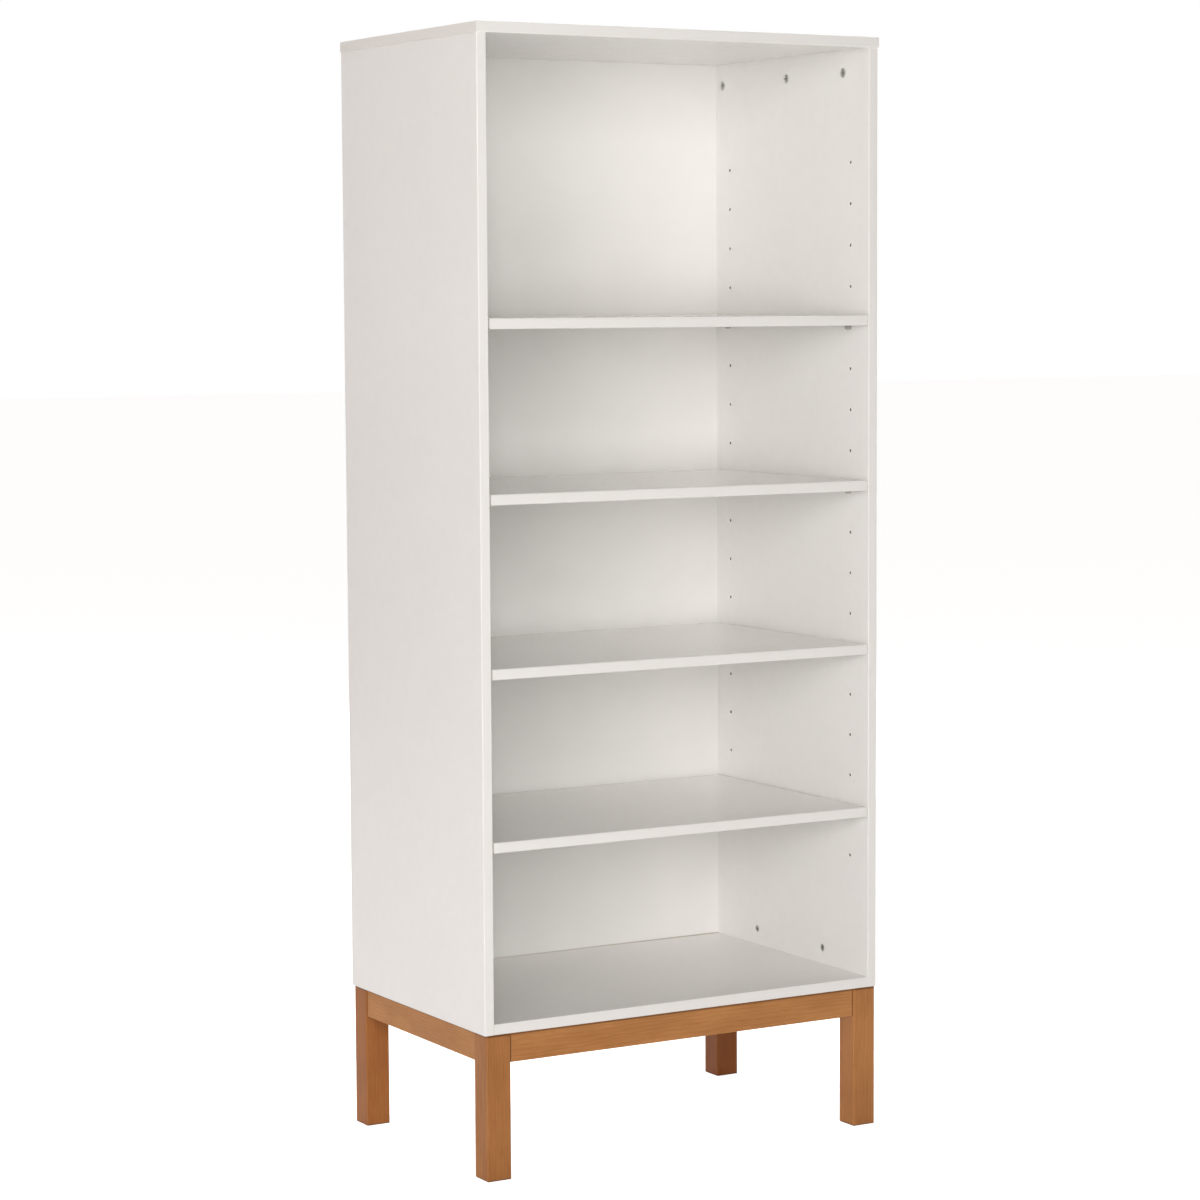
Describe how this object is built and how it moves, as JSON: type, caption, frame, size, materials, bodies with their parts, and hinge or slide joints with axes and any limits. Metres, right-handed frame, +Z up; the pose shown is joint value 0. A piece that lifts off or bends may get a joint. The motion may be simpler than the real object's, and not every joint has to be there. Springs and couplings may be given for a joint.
{
  "type": "bookcase with adjustable shelves",
  "caption": "Tall narrow open bookcase: white board carcass with adjustable shelves on steel pins, standing on a framed base of stained wooden legs and rails.",
  "frame": {"origin": "middle of the footprint, on the floor", "axes": "+Z up, +X to the right as seen from the open front, +Y towards the back"},
  "size_m": [0.702, 0.447, 1.7],
  "materials": {
    "lacquered_board": "warm white satin lacquer on board",
    "back_board": "warm white printed thin fibreboard",
    "stained_wood": "light brown stain under clear satin lacquer",
    "steel_pin": "nickel plated",
    "zinc_cam": "die-cast zinc, as cast",
    "zinc_plated_steel": "bright zinc plated",
    "beech_dowel": "raw turned beech"
  },
  "bodies": {
    "carcass": {"top_panel": "lacquered_board", "left_side_panel": "lacquered_board", "right_side_panel": "lacquered_board", "bottom_panel": "lacquered_board", "back_panel": "back_board", "front_left_leg": "stained_wood", "rear_left_leg": "stained_wood", "front_right_leg": "stained_wood", "rear_right_leg": "stained_wood", "front_rail": "stained_wood", "rear_rail": "stained_wood", "left_rail": "stained_wood", "right_rail": "stained_wood", "front_left_corner_plate": "zinc_plated_steel", "rear_left_corner_plate": "zinc_plated_steel", "front_right_corner_plate": "zinc_plated_steel", "rear_right_corner_plate": "zinc_plated_steel", "hanger_bolts": "zinc_plated_steel", "wing_nuts": "zinc_plated_steel", "corner_plate_screws": "zinc_plated_steel", "rail_screws": "zinc_plated_steel", "back_panel_nails": "zinc_plated_steel", "top_cam_bolts": "zinc_plated_steel", "bottom_cam_bolts": "zinc_plated_steel", "base_cam_bolts": "zinc_plated_steel", "top_cams": "zinc_cam", "bottom_cams": "zinc_cam", "base_cams": "zinc_cam", "rail_dowels": "beech_dowel", "top_dowels": "beech_dowel", "bottom_dowels": "beech_dowel"},
    "shelf_1": {"shelf_1": "lacquered_board"},
    "shelf_2": {"shelf_2": "lacquered_board"},
    "shelf_3": {"shelf_3": "lacquered_board"},
    "shelf_4": {"shelf_4": "lacquered_board"},
    "shelf_1_pin_left_front": {"shelf_1_pin_left_front": "steel_pin"},
    "shelf_1_pin_left_rear": {"shelf_1_pin_left_rear": "steel_pin"},
    "shelf_1_pin_right_front": {"shelf_1_pin_right_front": "steel_pin"},
    "shelf_1_pin_right_rear": {"shelf_1_pin_right_rear": "steel_pin"},
    "shelf_2_pin_left_front": {"shelf_2_pin_left_front": "steel_pin"},
    "shelf_2_pin_left_rear": {"shelf_2_pin_left_rear": "steel_pin"},
    "shelf_2_pin_right_front": {"shelf_2_pin_right_front": "steel_pin"},
    "shelf_2_pin_right_rear": {"shelf_2_pin_right_rear": "steel_pin"},
    "shelf_3_pin_left_front": {"shelf_3_pin_left_front": "steel_pin"},
    "shelf_3_pin_left_rear": {"shelf_3_pin_left_rear": "steel_pin"},
    "shelf_3_pin_right_front": {"shelf_3_pin_right_front": "steel_pin"},
    "shelf_3_pin_right_rear": {"shelf_3_pin_right_rear": "steel_pin"},
    "shelf_4_pin_left_front": {"shelf_4_pin_left_front": "steel_pin"},
    "shelf_4_pin_left_rear": {"shelf_4_pin_left_rear": "steel_pin"},
    "shelf_4_pin_right_front": {"shelf_4_pin_right_front": "steel_pin"},
    "shelf_4_pin_right_rear": {"shelf_4_pin_right_rear": "steel_pin"}
  },
  "joints": [
    {"name": "shelf_1_slide", "type": "slide", "parent": "carcass", "child": "shelf_1", "axis": [0, -1, 0], "range_m": [0, 0.45]},
    {"name": "shelf_2_slide", "type": "slide", "parent": "carcass", "child": "shelf_2", "axis": [0, -1, 0], "range_m": [0, 0.45]},
    {"name": "shelf_3_slide", "type": "slide", "parent": "carcass", "child": "shelf_3", "axis": [0, -1, 0], "range_m": [0, 0.45]},
    {"name": "shelf_4_slide", "type": "slide", "parent": "carcass", "child": "shelf_4", "axis": [0, -1, 0], "range_m": [0, 0.45]},
    {"name": "shelf_1_pin_left_front_pull", "type": "slide", "parent": "carcass", "child": "shelf_1_pin_left_front", "axis": [1, 0, 0], "range_m": [0, 0.012]},
    {"name": "shelf_1_pin_left_rear_pull", "type": "slide", "parent": "carcass", "child": "shelf_1_pin_left_rear", "axis": [1, 0, 0], "range_m": [0, 0.012]},
    {"name": "shelf_1_pin_right_front_pull", "type": "slide", "parent": "carcass", "child": "shelf_1_pin_right_front", "axis": [-1, 0, 0], "range_m": [0, 0.012]},
    {"name": "shelf_1_pin_right_rear_pull", "type": "slide", "parent": "carcass", "child": "shelf_1_pin_right_rear", "axis": [-1, 0, 0], "range_m": [0, 0.012]},
    {"name": "shelf_2_pin_left_front_pull", "type": "slide", "parent": "carcass", "child": "shelf_2_pin_left_front", "axis": [1, 0, 0], "range_m": [0, 0.012]},
    {"name": "shelf_2_pin_left_rear_pull", "type": "slide", "parent": "carcass", "child": "shelf_2_pin_left_rear", "axis": [1, 0, 0], "range_m": [0, 0.012]},
    {"name": "shelf_2_pin_right_front_pull", "type": "slide", "parent": "carcass", "child": "shelf_2_pin_right_front", "axis": [-1, 0, 0], "range_m": [0, 0.012]},
    {"name": "shelf_2_pin_right_rear_pull", "type": "slide", "parent": "carcass", "child": "shelf_2_pin_right_rear", "axis": [-1, 0, 0], "range_m": [0, 0.012]},
    {"name": "shelf_3_pin_left_front_pull", "type": "slide", "parent": "carcass", "child": "shelf_3_pin_left_front", "axis": [1, 0, 0], "range_m": [0, 0.012]},
    {"name": "shelf_3_pin_left_rear_pull", "type": "slide", "parent": "carcass", "child": "shelf_3_pin_left_rear", "axis": [1, 0, 0], "range_m": [0, 0.012]},
    {"name": "shelf_3_pin_right_front_pull", "type": "slide", "parent": "carcass", "child": "shelf_3_pin_right_front", "axis": [-1, 0, 0], "range_m": [0, 0.012]},
    {"name": "shelf_3_pin_right_rear_pull", "type": "slide", "parent": "carcass", "child": "shelf_3_pin_right_rear", "axis": [-1, 0, 0], "range_m": [0, 0.012]},
    {"name": "shelf_4_pin_left_front_pull", "type": "slide", "parent": "carcass", "child": "shelf_4_pin_left_front", "axis": [1, 0, 0], "range_m": [0, 0.012]},
    {"name": "shelf_4_pin_left_rear_pull", "type": "slide", "parent": "carcass", "child": "shelf_4_pin_left_rear", "axis": [1, 0, 0], "range_m": [0, 0.012]},
    {"name": "shelf_4_pin_right_front_pull", "type": "slide", "parent": "carcass", "child": "shelf_4_pin_right_front", "axis": [-1, 0, 0], "range_m": [0, 0.012]},
    {"name": "shelf_4_pin_right_rear_pull", "type": "slide", "parent": "carcass", "child": "shelf_4_pin_right_rear", "axis": [-1, 0, 0], "range_m": [0, 0.012]}
  ]
}
